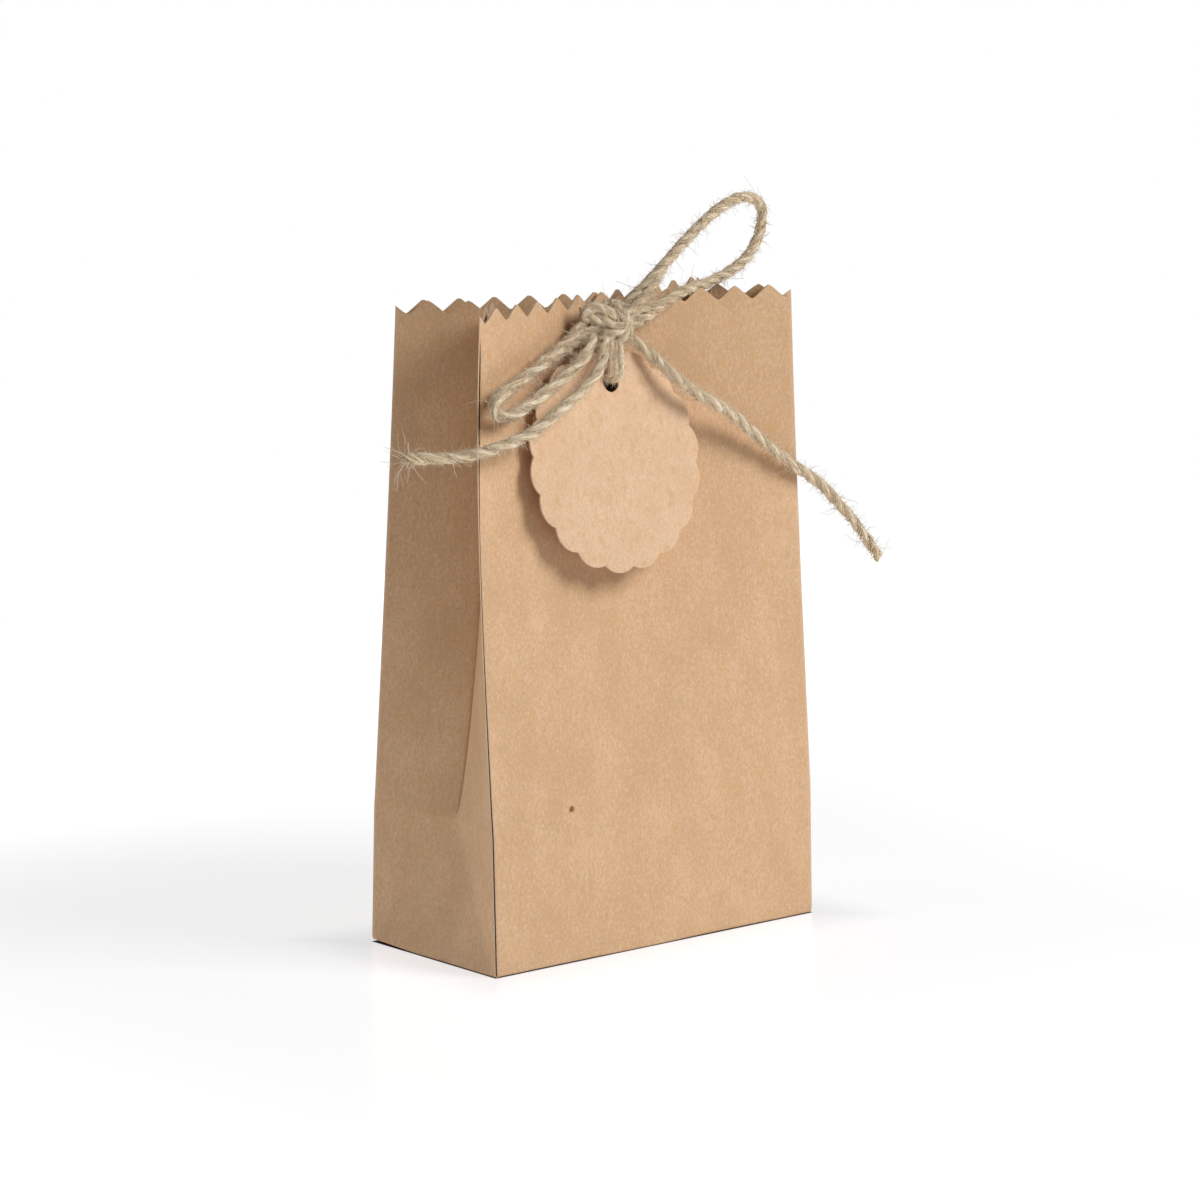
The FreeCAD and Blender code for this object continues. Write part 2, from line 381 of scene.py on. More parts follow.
def fuzzOf(frames, length, share=1.0, longShare=1.0, ends=()):
    # short down all round, some long stray hairs, and fibres that lie along the strand
    hairs = []
    count = len(frames) - 1

    def spot(where, angle, radius):
        index = min(count, max(0, round(where / length * count)))
        point, ahead, across, side = frames[index]
        outward = across * math.cos(angle) + side * math.sin(angle)
        return point + outward * radius * mm, outward, ahead

    def stray(where, size, lift):
        angle = chance.uniform(0, 2 * math.pi)
        start, outward, ahead = spot(where, angle, fuzz["root"])
        run = ahead * chance.choice((-1, 1)) * chance.uniform(0.5, 1.2)
        heading = (outward * lift + run + scatter(0.35)).normalized()
        bend = scatter(1) * 0.42
        points = [start]
        for _ in range(fuzz["bends"]):
            heading = (heading + bend + scatter(0.16)).normalized()
            points.append(points[-1] + heading * size * mm / fuzz["bends"])
        hairs.append((points, twine["hairRadius"] * chance.uniform(0.7, 1.25)))

    perLength = length / mm
    for kind, number in (("down", perLength * twine["hairsPerMm"] * share),
                         ("long", perLength * twine["longHairsPerMm"] * longShare)):
        for _ in range(round(number)):
            stray(chance.uniform(0, length), chance.uniform(*fuzz[kind]["size"]),
                  chance.uniform(*fuzz[kind]["lift"]))
    laid = fuzz["laid"]
    steps = laid["points"] - 1
    for _ in range(round(perLength * twine["fibresPerMm"])):
        where = chance.uniform(0, length)
        size = chance.uniform(*laid["size"]) * mm
        angle = chance.uniform(0, 2 * math.pi)
        turn = 2 * math.pi / (twine["pitch"] * mm) * chance.uniform(*laid["turn"])
        lift = chance.uniform(*laid["lift"])
        points = []
        for k in range(laid["points"]):
            at = where + size * k / steps
            if at <= length:
                height = lift + chance.uniform(-0.1, 0.16)
                points.append(spot(at, angle + turn * size * k / steps, height)[0])
        if len(points) >= 3:
            hairs.append((points, twine["fibreRadius"] * chance.uniform(0.6, 1.3)))
    for where, number, reach in ends:
        for _ in range(number):
            index = 0 if where == 0 else count
            point, ahead, across, side = frames[index]
            ahead = -ahead if where == 0 else ahead
            sideways = scatter(1) * 0.5
            size = chance.uniform(0.35, 1) * reach
            points = [point - ahead * 2 * mm + sideways * 0.9 * mm]
            heading = (ahead + sideways * 0.6).normalized()
            bend = scatter(1) * 0.38
            for _ in range(fuzz["bends"]):
                heading = (heading + bend).normalized()
                points.append(points[-1] + heading * size * mm / fuzz["bends"])
            hairs.append((points, twine["hairRadius"] * chance.uniform(0.8, 1.5)))
    return hairs


def newPiece(name, mesh, body, finishes, replaced=()):
    piece = bpy.data.objects.new(name, mesh)
    bpy.context.collection.objects.link(piece)
    mesh.materials.clear()
    for finish in finishes:
        mesh.materials.append(finish)
    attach(piece, body)
    if replaced:
        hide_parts(*replaced)
    return piece


def strandMesh(name, strands):
    bm = bmesh.new()
    for frames, length, seed, settings in strands:
        addStrand(bm, frames, length, seed, **settings)
    bmesh.ops.recalc_face_normals(bm, faces=bm.faces)
    mesh = bpy.data.meshes.new(name)
    bm.to_mesh(mesh)
    bm.free()
    mesh.shade_smooth()
    return mesh


def strandSettings(values):
    return {key: values[key] for key in ("thickness", "pitch", "openEnd") if key in values}


def tracedStrand(route):
    line, length = evenly(smoothLine(route), twine["step"] * mm)
    return carriedFrames(line), length, line


cords = {
    "bow_loop_large": {
        "route": [(2.4, -7.2, 150.0), (8.4, -7.6, 154.4), (17.0, -7.5, 161.2), (26.5, -7.0, 168.2),
                  (36.0, -6.0, 173.2), (44.4, -5.2, 174.6), (49.4, -4.6, 171.4),
                  (49.4, -4.0, 165.4), (45.4, -4.0, 159.4), (38.4, -4.8, 156.2),
                  (30.2, -5.6, 154.0), (21.2, -6.8, 153.0), (13.4, -8.3, 150.2),
                  (7.4, -8.8, 147.4), (2.8, -8.6, 146.0)],
        "length": 0.1128, "farEnd": "object", "seed": 1.3, "ends": [],
    },
    "bow_loop_small": {
        "route": [(-7.4, -6.7, 148.6), (-13.0, -9.0, 145.6), (-20.8, -11.2, 142.0),
                  (-30.8, -14.6, 138.7), (-38.4, -17.0, 136.2), (-43.0, -18.0, 134.8),
                  (-46.0, -18.5, 132.8), (-46.0, -18.7, 130.2), (-43.0, -18.5, 129.0),
                  (-38.0, -18.2, 130.0), (-30.8, -17.6, 133.2), (-20.8, -15.8, 137.7),
                  (-12.2, -13.8, 142.6), (-8.0, -7.8, 145.8)],
        "length": 0.0903, "farEnd": "object", "seed": 4.1, "ends": [], "thickness": 1.12,
        "pitch": 17.0, "fuzz": 2.2,
    },
    "tail_left": {
        "route": [(-6.0, -10.2, 144.9), (-9.8, -15.4, 139.8), (-17.2, -17.6, 134.2),
                  (-27.2, -19.4, 129.6), (-35.6, -20.6, 125.2), (-44.4, -21.0, 123.2),
                  (-54.0, -20.8, 121.6), (-63.6, -20.2, 121.6), (-72.6, -19.4, 122.6)],
        "length": 0.0757, "farEnd": "bare", "seed": 2.2, "ends": [(1, 26, 9.0)],
        "openEnd": 0.55, "pitch": 13.0, "fuzz": 1.4,
    },
    "tail_right": {
        "route": [(0.4, -8.6, 145.2), (5.0, -13.2, 140.6), (10.0, -16.6, 134.4),
                  (17.4, -17.8, 129.4), (27.5, -17.2, 124.6), (37.5, -17.2, 116.9),
                  (46.4, -18.3, 110.6), (56.4, -18.8, 104.6), (64.6, -19.0, 96.9),
                  (70.6, -19.2, 90.5), (75.2, -19.4, 84.6)],
        "length": 0.0991, "farEnd": "bare", "seed": 5.7, "ends": [(1, 12, 3.5)],
        "openEnd": 0.3, "pitch": 12.0, "fuzz": 1.2,
    },
}

for name, cord in cords.items():
    frames, length, line = tracedStrand(cord["route"])
    mesh = strandMesh(name + "_strand", [(frames, length, cord["seed"], strandSettings(cord))])
    piece = newPiece(name + "_twine", mesh, "bag", [juteFinish], [name])
    hairs = fuzzOf(frames, length, cord.get("fuzz", 1.0), ends=cord["ends"])
    down = newPiece(name + "_fuzz", hairMesh(name + "_fuzz", hairs), "bag",
                    [hairFinish])
    tuple(value * mm for value in cord["route"][0])
    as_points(line)
    print(name, "length", round(length, 4), "hairs", len(hairs))

# ---- the knot, the strand that holds the bag shut and the tag's own loop

knotWraps = [
    # over the middle of the knot, top to bottom
    {"route": [(-1.2, -4.4, 150.6), (-1.6, -8.0, 151.9), (-1.0, -11.0, 150.2), (-0.7, -12.2, 147.2),
               (-1.3, -11.6, 144.0), (-2.0, -8.0, 142.5), (-2.0, -4.6, 143.6)], "seed": 0.4},
    # the small lobe at the upper left
    {"route": [(-0.8, -9.4, 147.4), (-4.2, -10.4, 150.0), (-8.2, -9.8, 151.6), (-10.6, -8.8, 150.6),
               (-10.4, -8.8, 148.9), (-7.2, -10.0, 148.4), (-3.4, -11.2, 146.6),
               (-0.6, -10.4, 144.6)], "seed": 1.9},
    # from the upper left across to the right tail
    {"route": [(-5.2, -7.6, 150.8), (-3.4, -10.4, 149.9), (-0.8, -11.8, 147.6), (1.6, -10.4, 145.4),
               (2.8, -8.6, 143.8)], "seed": 3.1},
    # from the left tail up to the large loop
    {"route": [(-8.0, -10.6, 143.8), (-5.2, -12.0, 144.8), (-2.2, -12.2, 146.2),
               (1.0, -10.8, 148.2), (3.8, -8.8, 150.6)], "seed": 5.0},
    # beside both ends of the large loop, which make its foot wide
    {"route": [(-1.0, -9.0, 146.6), (2.6, -9.8, 149.4), (6.6, -8.9, 152.0), (10.8, -8.2, 155.2),
               (14.6, -7.8, 158.6)], "seed": 7.7, "thickness": 0.86},
    {"route": [(-1.0, -8.2, 148.6), (3.4, -8.8, 148.8), (7.6, -9.0, 149.6), (11.8, -8.6, 151.4)],
     "seed": 8.8, "thickness": 0.8},
    # beside the foot of the small loop
    {"route": [(-3.0, -9.8, 147.0), (-8.6, -9.2, 146.2), (-14.6, -10.0, 144.0),
               (-21.0, -11.6, 141.4), (-26.0, -13.0, 139.8)], "seed": 9.6, "thickness": 0.8},
    {"route": [(-4.6, -8.2, 144.6), (-4.2, -6.6, 147.4), (-5.6, -6.4, 150.0), (-7.6, -7.4, 150.4)],
     "seed": 6.4},
]

knotThreads = {"count": 44, "middle": (-2.2, -8.2, 147.2), "reach": (6.4, 4.0, 4.6),
               "radius": (0.12, 0.34), "sweep": (1.2, 3.0)}


def looseThreads():
    # thin bundles of fibres that wander round the knot
    threads = []
    middle, reach = Vector(knotThreads["middle"]) * mm, Vector(knotThreads["reach"]) * mm
    for _ in range(knotThreads["count"]):
        axis = Vector([chance.gauss(0, 1) for _ in range(3)]).normalized()
        across = axis.orthogonal().normalized()
        side = axis.cross(across)
        start, sweep = chance.uniform(0, 2 * math.pi), chance.uniform(*knotThreads["sweep"])
        lift = chance.uniform(0.86, 1.12)
        points = []
        for k in range(7):
            angle = start + sweep * k / 6
            way = across * math.cos(angle) + side * math.sin(angle)
            way *= lift * (1 + chance.uniform(-0.06, 0.06))
            points.append(middle + Vector((way.x * reach.x, way.y * reach.y, way.z * reach.z)))
        threads.append((points, chance.uniform(*knotThreads["radius"])))
    return threads


def lastingStrand(name, body, routes, density, extra=()):
    # twine that keeps its shape: the knot and what is held by holes
    strands, hairs = [], list(extra)
    for wrap in routes:
        frames, length = tracedStrand(wrap["route"])[:2]
        strands.append((frames, length, wrap["seed"], strandSettings(wrap)))
        hairs += fuzzOf(frames, length, density, density)
    newPiece(name + "_twine", strandMesh(name + "_strand", strands), body,
             [juteFinish], [name])
    newPiece(name + "_fuzz", hairMesh(name + "_fuzz", hairs), body, [hairFinish])
    print(name, "strands", len(strands), "hairs", len(hairs))


lastingStrand("bow_knot", "bag", knotWraps, 1.4, looseThreads())
lastingStrand("tie_strand", "bag", [
    {"route": [(-3.9, -5.8, 147.4), (-5.5, -3.0, 147.5), (-5.5, 3.4, 147.5), (-3.8, 4.9, 147.5),
               (3.8, 4.9, 147.5), (5.5, 3.4, 147.5), (5.5, -3.0, 147.5), (2.9, -5.8, 147.4)],
     "seed": 2.8}], 0.8)
lastingStrand("tag_tie", "tie", [
    {"route": [(-4.2, -11.2, 143.4), (-6.2, -13.5, 139.4), (-6.4, -14.4, 136.6),
               (-6.0, -13.4, 135.2), (-5.6, -10.0, 135.0), (-5.2, -8.2, 136.2),
               (-4.5, -7.0, 138.8), (-3.9, -6.6, 141.4)],
     "seed": 3.6, "thickness": 0.98, "pitch": 60.0},
    {"route": [(-3.0, -11.6, 143.0), (-4.6, -13.9, 139.4), (-4.9, -14.7, 136.4),
               (-4.8, -13.4, 134.9), (-4.8, -10.0, 134.8), (-4.7, -8.4, 136.2),
               (-4.0, -7.2, 138.8), (-3.4, -6.8, 141.4)],
     "seed": 1.2, "thickness": 0.98, "pitch": 50.0}], 1.6)

# ---- card: kraft board with its grain, specks and cut edges

kraft = {
    # paler along the corner folds: worn fibres and a painted highlight
    "wornAndLit": (0.74, 0.56, 0.43),
    # darker along the valley crease: the pressed score and painted shade in the crease
    "scoredAndShaded": (0.42, 0.19, 0.06),
    # painted shade, near black, for the seam's slit and behind the tag's hole
    "shaded": (0.03, 0.02, 0.014),
    "warm": (0.68, 0.40, 0.19),
    "light": (0.77, 0.51, 0.312),
    "dark": (0.615, 0.388, 0.218),
    "fibrePale": (0.86, 0.66, 0.47),
    "fibreDark": (0.36, 0.20, 0.10),
    "spotAt": (-0.0257, -0.0216, 0.0363),
    "spotSize": 0.0009,
    "spotColour": (0.27, 0.115, 0.04),
    "cloudScale": 90.0,
    "blotScale": 520.0,
    "fleckScale": 1500.0,
    "moteScale": 1700.0,
    "grainScale": 2400.0,
    "edge": (0.80, 0.60, 0.42),
    "roughness": 0.78,
    "bump": 0.00006,
}
tagPaper = {"light": (0.83, 0.58, 0.385), "dark": (0.73, 0.485, 0.30), "edge": (0.84, 0.66, 0.49)}


def kraftMaterial(name, light, dark, grainHeight, spot=False):
    g = Graph(name)
    place = g.node("TexCoord", output=3)
    clouds = g.grains(place, (1, 1, 0.6), kraft["cloudScale"], 3.0, 0.6)
    grain = g.grains(place, (1, 1, grainHeight), kraft["grainScale"], 3.0, 0.65)
    flecks = g.grains(place, (1, 1, 0.55), kraft["fleckScale"], 2.0, 0.6)
    tone = grain * 0.55 + flecks * 0.3 + clouds * 0.3 - 0.075
    colour = g.blend(g.band(tone, 0.39, 0.65), dark, light)
    blots = g.grains(place, (1, 1, 0.7), kraft["blotScale"], 3.0, 0.7)
    colour = g.blend(g.band(blots, 0.47, 0.72) * 0.6, colour, kraft["warm"])
    # paler along the corner folds: worn fibres and a painted highlight
    wornAndLit = g.node("Attribute", {"attribute_name": "wear"}, None, 2)
    colour = g.blend(wornAndLit * (0.35 + 0.5 * grain), colour, kraft["wornAndLit"])
    # darker along the valley crease: the pressed score and painted shade in the crease
    scoredAndShaded = g.node("Attribute", {"attribute_name": "score"}, None, 2)
    colour = g.blend(scoredAndShaded * (0.3 + 0.8 * clouds), colour, kraft["scoredAndShaded"])
    # painted shade where the seam's slit and the tag's hole would be in shadow
    shaded = g.node("Attribute", {"attribute_name": "deep"}, None, 2)
    colour = g.blend(shaded, colour, kraft["shaded"])
    threads = g.grains(place, (1, 1, 0.16), kraft["grainScale"], 1.0, 0.4)
    colour = g.blend(g.band(threads, 0.71, 0.78) * 0.3, colour, kraft["fibrePale"])
    motes = g.grains(place, (1, 1, 0.5), kraft["moteScale"], 1.0, 0.4)
    colour = g.blend(g.band(motes, 0.735, 0.8) * 0.4, colour, kraft["fibreDark"])
    if spot:
        away = g.node("VectorMath", {"operation": "DISTANCE"},
                      {0: place, 1: kraft["spotAt"]}, 1)
        edge = away + (flecks - 0.5) * kraft["spotSize"]
        colour = g.blend(1 - g.band(edge, kraft["spotSize"] * 0.55, kraft["spotSize"] * 1.1),
                         colour, kraft["spotColour"])
    bump = g.node("Bump", None, {"Strength": 0.5, "Distance": kraft["bump"],
                                 "Height": grain * 0.6 + flecks * 0.4})
    return g.finish({"Base Color": colour, "Roughness": kraft["roughness"], "Normal": bump,
                     "Specular IOR Level": 0.3})


def edgeMaterial(name, colour):
    g = Graph(name)
    place = g.node("TexCoord", output=3)
    layers = g.grains(place, (1, 1, 1), 2600.0, 2.0, 0.6)
    tone = g.blend(g.band(layers, 0.35, 0.65), tuple(value * 0.82 for value in colour), colour)
    bump = g.node("Bump", None, {"Strength": 0.6, "Distance": kraft["bump"], "Height": layers})
    return g.finish({"Base Color": tone, "Roughness": 0.9, "Normal": bump})


kraftFinish = kraftMaterial("kraftCard", kraft["light"], kraft["dark"], 0.6, True)
edgeFinish = edgeMaterial("cutEdge", kraft["edge"])
tagFinish = kraftMaterial("tagCard", tagPaper["light"], tagPaper["dark"], 0.8)

# ---- the folded sheet

# millimetres, along the sheet from the front left corner where a value is a place on it
bag = {
    "width": 100.0,
    "depth": 47.0,
    "height": 152.0,
    "card": 0.5,
    "apex": 33.0,
    "diagonalStart": 1.2,
    "foldAtApex": 18.4,
    "foldAtTop": 49.0,
    "foldGrowth": 0.8,
    "pinchStart": 20.0,
    "pinchGrowth": 1.6,
    "pinchGap": 1.0,
    "pinchRound": 0.12,
    "tooth": 3.2,
    "frontTeeth": 11.5,
    "frontPhase": 0.31,
    "gussetTeeth": 2.5,
    "gussetPhase": 0.33,
    "flap": 12.0,
    "flapColumns": (-10, -8, -6, -4.5, -3.4, -2.6, -2.0, -1.6, -1.3, -1.1, -0.9, -0.75, -0.6,
                    -0.45, -0.3, -0.15),
    "flapBend": 2.1,
    "flapEase": 4.0,
    "flapTopDrop": 2.2,
    "flapLift": 1.2,
    "flapLiftHeight": 8,
    "toothSharpness": 0.975,
    "toothBase": 145.0,
    "columnsPerTooth": 12,
    "rowStep": 2.7,
    "cornerRound": 0.5,
    "creaseRound": 0.22,
    "footCreaseRound": 1.5,
    "creaseDip": 0.16,
    "footRound": 0.8,
    "rawEdge": 0.12,
    "foldRound": 1.1,
    "foldReach": 1.5,
    "leftFlare": -0.35,
    "rightFlare": 1.3,
    "glue": 0.25,
    "slitShadeEnd": 0.32,
    "slitShadeWidening": 0.95,
    "slitFrom": 100,
    "slitGrowth": 30,
    "slitTop": 149,
    "slitFade": 6,
    # the back left corner of the foot stands off the floor
    "cornerLift": 0.55,
    "cornerLiftReach": 16,
    "cornerLiftHeight": 12,
    "holeRadius": 2.0,
    "holeAt": 5.5,
    "holeHeight": 147.5,
    "wave": 0.28,
    "waveWidth": 31,
    "waveHeight": 36,
    "wearHighlightReach": 1.25,
    "scoreShadeReach": 0.5,
    "sharpAngle": 38,
    # the patch of panel that the tag's hole looks on, painted dark as the hole's shadow
    "shadeAt": (0.7, 130.8),
    "shadeReach": 4.6,
}
halfWidth, halfDepth = bag["width"] / 2, bag["depth"] / 2
girth = 2 * bag["width"] + 2 * bag["depth"]


def clamp(value):
    return min(1.0, max(0.0, value))


def foldAngle(z):
    share = clamp((z - bag["apex"]) / (bag["height"] - bag["apex"]))
    eased = math.sin(share * math.pi / 2) ** bag["foldGrowth"]
    return math.radians(bag["foldAtApex"] + (bag["foldAtTop"] - bag["foldAtApex"]) * eased)


def halfGap(z):
    if z < bag["apex"]:
        return halfDepth - halfDepth * (1 - math.cos(foldAngle(bag["apex"]))) * z / bag["apex"]
    return halfDepth * math.cos(foldAngle(z))


fullPinch = halfGap(bag["height"]) - bag["pinchGap"] / 2 - bag["card"]


class Level:
    # everything that depends on the height only
    def __init__(self, z):
        self.z = z
        self.gap = halfGap(z)
        share = clamp((z - bag["pinchStart"]) / (bag["height"] - bag["pinchStart"]))
        self.pinch = fullPinch * share ** bag["pinchGrowth"]
        self.corner = math.sqrt(halfWidth ** 2 - self.pinch ** 2)
        flare = clamp(z / bag["height"])
        self.leftCorner = self.corner + bag["leftFlare"] * flare
        self.rightCorner = self.corner + bag["rightFlare"] * flare
        push = halfDepth * math.sin(foldAngle(max(z, bag["apex"])))
        low = clamp(z / bag["apex"])
        self.crease = Vector((self.corner - push * low,
                              -(halfDepth - bag["diagonalStart"]) * (1 - low)))
        self.creaseAt = bag["diagonalStart"] + (halfDepth - bag["diagonalStart"]) * low

    def panel(self, x):
        soft = bag["pinchRound"]
        rise = math.hypot(abs(x) / self.corner, soft) - soft
        full = math.hypot(1, soft) - soft
        return -self.gap + self.pinch * (1 - rise / full)

    def gusset(self, t, frontCorner):
        # as on the right, t from 0 at the front corner to the depth at the back corner
        mirror = t > halfDepth
        d = bag["depth"] - t if mirror else t
        front = Vector((self.corner if mirror else frontCorner, -self.gap))
        if d <= self.creaseAt:
            point = front.lerp(self.crease, d / self.creaseAt)
        elif self.creaseAt < halfDepth - 1e-9:
            across = (d - self.creaseAt) / (halfDepth - self.creaseAt)
            point = self.crease.lerp(Vector((self.crease.x, 0)), across)
        else:
            point = self.crease.copy()
        return Vector((point.x, -point.y if mirror else point.y))

    def path(self, s):
        width, depth = bag["width"], bag["depth"]
        if s < 0:
            # the flap runs behind the gusset
            along = (self.crease - Vector((self.leftCorner, -self.gap))).normalized()
            step = clamp(-s / bag["flapEase"]) * (bag["card"] + bag["glue"]) / max(0.2, along.y)
            point = Vector((self.leftCorner - step, -self.gap)) + along * -s
            return Vector((-point.x, point.y))
        if s <= width:
            x = (s / width * 2 - 1) * self.corner
            wide = self.rightCorner * s / width - self.leftCorner * (1 - s / width)
            return Vector((wide, self.panel(x)))
        if s <= width + depth:
            return self.gusset(s - width, self.rightCorner)
        if s <= 2 * width + depth:
            x = (1 - (s - width - depth) / width * 2) * self.corner
            return Vector((x, -self.panel(x)))
        point = self.gusset(depth - min(depth, s - 2 * width - depth), self.leftCorner)
        return Vector((-point.x, point.y))

    def rounded(self, s):
        # soft at the corners of the bag and crisp at the gusset's creases
        width, depth = bag["width"], bag["depth"]
        if abs(s) < bag["foldReach"]:
            reach = bag["foldRound"]
            return sum((self.path(s + reach * k / 3) for k in range(-3, 4)), Vector((0, 0))) / 7
        near = min(abs(s - k) for k in (width, width + depth, 2 * width + depth, girth))
        crease = bag["creaseRound"] if self.z > bag["apex"] else bag["footCreaseRound"]
        reach = crease + (bag["cornerRound"] - crease) * clamp((4.0 - near) / 2.5)
        total = Vector((0, 0))
        for k in range(-3, 4):
            total += self.path(min(girth, s + reach * k / 3))
        return total / 7


def zigzag(share, teeth, phase):
    wave = math.sin(2 * math.pi * (share * teeth - phase - 0.25))
    return math.asin(bag["toothSharpness"] * wave) / math.asin(bag["toothSharpness"])


def edgeHeight(s):
    width, depth = bag["width"], bag["depth"]
    if s < 0:
        corner = bag["tooth"] / 2 * zigzag(0, bag["frontTeeth"], bag["frontPhase"])
        return bag["height"] + corner - (corner + bag["flapTopDrop"]) * clamp(-s / 2.5)
    if s <= width:
        wave = zigzag(s / width, bag["frontTeeth"], bag["frontPhase"])
    elif width + depth < s <= 2 * width + depth:
        wave = zigzag((2 * width + depth - s) / width, bag["frontTeeth"], bag["frontPhase"])
    else:
        t = (s - width) if s <= width + depth else (s - 2 * width - depth)
        wave = zigzag(min(t, depth - t) / halfDepth, bag["gussetTeeth"], bag["gussetPhase"])
    return bag["height"] + bag["tooth"] / 2 * wave


def halfGussetColumns():
    pitch = halfDepth / bag["gussetTeeth"]
    inner = [(bag["gussetPhase"] + k / 10) * pitch for k in range(-4, 26)]
    inner = [d for d in inner if bag["diagonalStart"] + 0.25 < d < halfDepth - 0.8]
    near = [0, 0.3, 0.6, 0.9, bag["diagonalStart"], bag["diagonalStart"] + 0.3]
    return [*near, *[d for d in inner if d > near[-1] + 0.25], halfDepth - 0.6,
            halfDepth - 0.3, halfDepth]


def panelColumns():
    width = bag["width"]
    pitch = width / bag["frontTeeth"]
    count = bag["columnsPerTooth"]
    inner = [(bag["frontPhase"] + k / count) * pitch for k in range(-count, 13 * count)]
    inner = [s for s in inner if 1.2 < s < width - 1.2]
    return [0, 0.15, 0.3, 0.45, 0.6, 0.75, 0.9, *inner, width - 0.9, width - 0.6, width - 0.3, width]


def bagSheet():
    width, depth = bag["width"], bag["depth"]
    half = halfGussetColumns()
    gusset = half + [depth - d for d in half[-2::-1]]
    panel = panelColumns()
    columns = [-bag["flap"], *bag["flapColumns"], *panel]
    columns += [width + d for d in gusset[1:]]
    columns += [width + depth + s for s in panel[1:]]
    columns += [2 * width + depth + d for d in gusset[1:] if d < depth - bag["rawEdge"]]
    columns.append(girth - bag["rawEdge"])
    shares = [(d - bag["diagonalStart"]) / (halfDepth - bag["diagonalStart"])
              for d in half if d >= bag["diagonalStart"]]
    rows = [bag["apex"] * share for share in shares]
    upper = round((bag["toothBase"] - bag["apex"]) / bag["rowStep"])
    rows += [bag["apex"] + (bag["toothBase"] - bag["apex"]) * k / upper
             for k in range(1, upper + 1)]
    rows += [bag["toothBase"] + (bag["height"] - bag["toothBase"]) * k / 6 for k in range(1, 7)]
    rows = sorted([*rows, 0.15])
    levels = {}

    def place(i, j):
        s, z = columns[i], rows[j]
        if z > bag["toothBase"]:
            z = bag["toothBase"] + (z - bag["toothBase"]) * (edgeHeight(s) - bag["toothBase"]) / (
                bag["height"] - bag["toothBase"])
        key = round(z, 4)
        level = levels.setdefault(key, Level(z))
        if s < 0:
            # the flap narrows so that it stays in front of the gusset's crease
            reach = min(bag["flap"], level.creaseAt - 1.5)
            bend = bag["flapBend"]
            if s < -bend:
                s = -bend + (s + bend) * max(0.0, reach - bend) / (bag["flap"] - bend)
        point = level.rounded(s)
        ahead = (level.rounded(s + 0.2) - level.rounded(s - 0.2)).normalized()
        outward = Vector((ahead.y, -ahead.x))
        bulge = 0.0
        for start, end in ((0, width), (width, width + depth), (width + depth, 2 * width + depth),
                           (2 * width + depth, girth)):
            if start < s < end:
                bulge = math.sin(math.pi * (s - start) / (end - start))
        bulge *= bag["wave"] * wriggle(s / bag["waveWidth"], z / bag["waveHeight"], 4.2)
        if z > bag["apex"]:
            fromValley = min(abs(s - width - halfDepth), abs(s - girth + halfDepth))
            bulge -= bag["creaseDip"] * clamp(1 - fromValley / 0.6)
        foot = max(0.0, bag["footRound"] - z)
        inward = bag["footRound"] - math.sqrt(max(0.0, bag["footRound"] ** 2 - foot ** 2))
        point += outward * (bulge - inward * clamp(1 + s / 0.8))
        # the flap ends clear of the floor
        lift = bag["flapLift"] * clamp(-s / 0.8) * clamp(1 - z / bag["flapLiftHeight"])
        fromCorner = math.hypot(point.x + halfWidth, point.y - halfDepth)
        if z < bag["cornerLiftHeight"]:
            lift += bag["cornerLift"] * clamp(1 - fromCorner / bag["cornerLiftReach"]) * (
                1 - z / bag["cornerLiftHeight"])
        return Vector((point.x, point.y, z + lift)) * mm

    bm = bmesh.new()
    bm.verts.layers.float.new("wear")
    bm.verts.layers.float.new("score")
    bm.verts.layers.float.new("deep")
    bm.verts.layers.deform.verify()
    wear, score, deep = [bm.verts.layers.float[name] for name in ("wear", "score", "deep")]
    spots = gridMesh(bm, len(columns) - 1, len(rows) - 1, place)
    where = {spot: v for v, spot in spots.items()}
    for v, (i, j) in spots.items():
        s, z = columns[i], rows[j]
        away = min(abs(s - k) for k in (0, width, width + depth, 2 * width + depth))
        fold = min(away, abs(s - girth))
        # the card is thin where its layers meet at a fold
        v[bm.verts.layers.deform.active][0] = (
            clamp(0.05 - (s + 1) / 6) if s < 0 else clamp(0.1 + fold / 1.8))
        # paler along the corner folds: worn fibres and a painted highlight
        v[wear] = clamp(bag["wearHighlightReach"] - away) * (0.8 + 0.5 * wriggle(s, z / 4, 8))
        # darker along the valley crease: the pressed score and painted shade in the crease
        if z > bag["apex"] + 2:
            fromValley = min(abs(s - width - halfDepth), abs(s - girth + halfDepth))
            v[score] = clamp(1 - fromValley / bag["scoreShadeReach"])
        # painted shade of the seam's slit: near black over the hidden flap and the panel's edge, wider
        # towards the top
        shadeEdge = bag["slitShadeEnd"] + bag["slitShadeWidening"] * clamp((z - bag["slitFrom"]) / bag["slitGrowth"]) * (
            clamp((bag["slitTop"] - z) / bag["slitFade"]))
        if s < shadeEdge:
            v[deep] = clamp((shadeEdge - s) / 0.2)
        elif s <= width:
            # painted shadow on the panel behind the tag's hole
            fromShade = math.hypot(v.co.x / mm - bag["shadeAt"][0], v.co.z / mm - bag["shadeAt"][1])
            v[deep] = clamp((bag["shadeReach"] - fromShade) / 1.5)

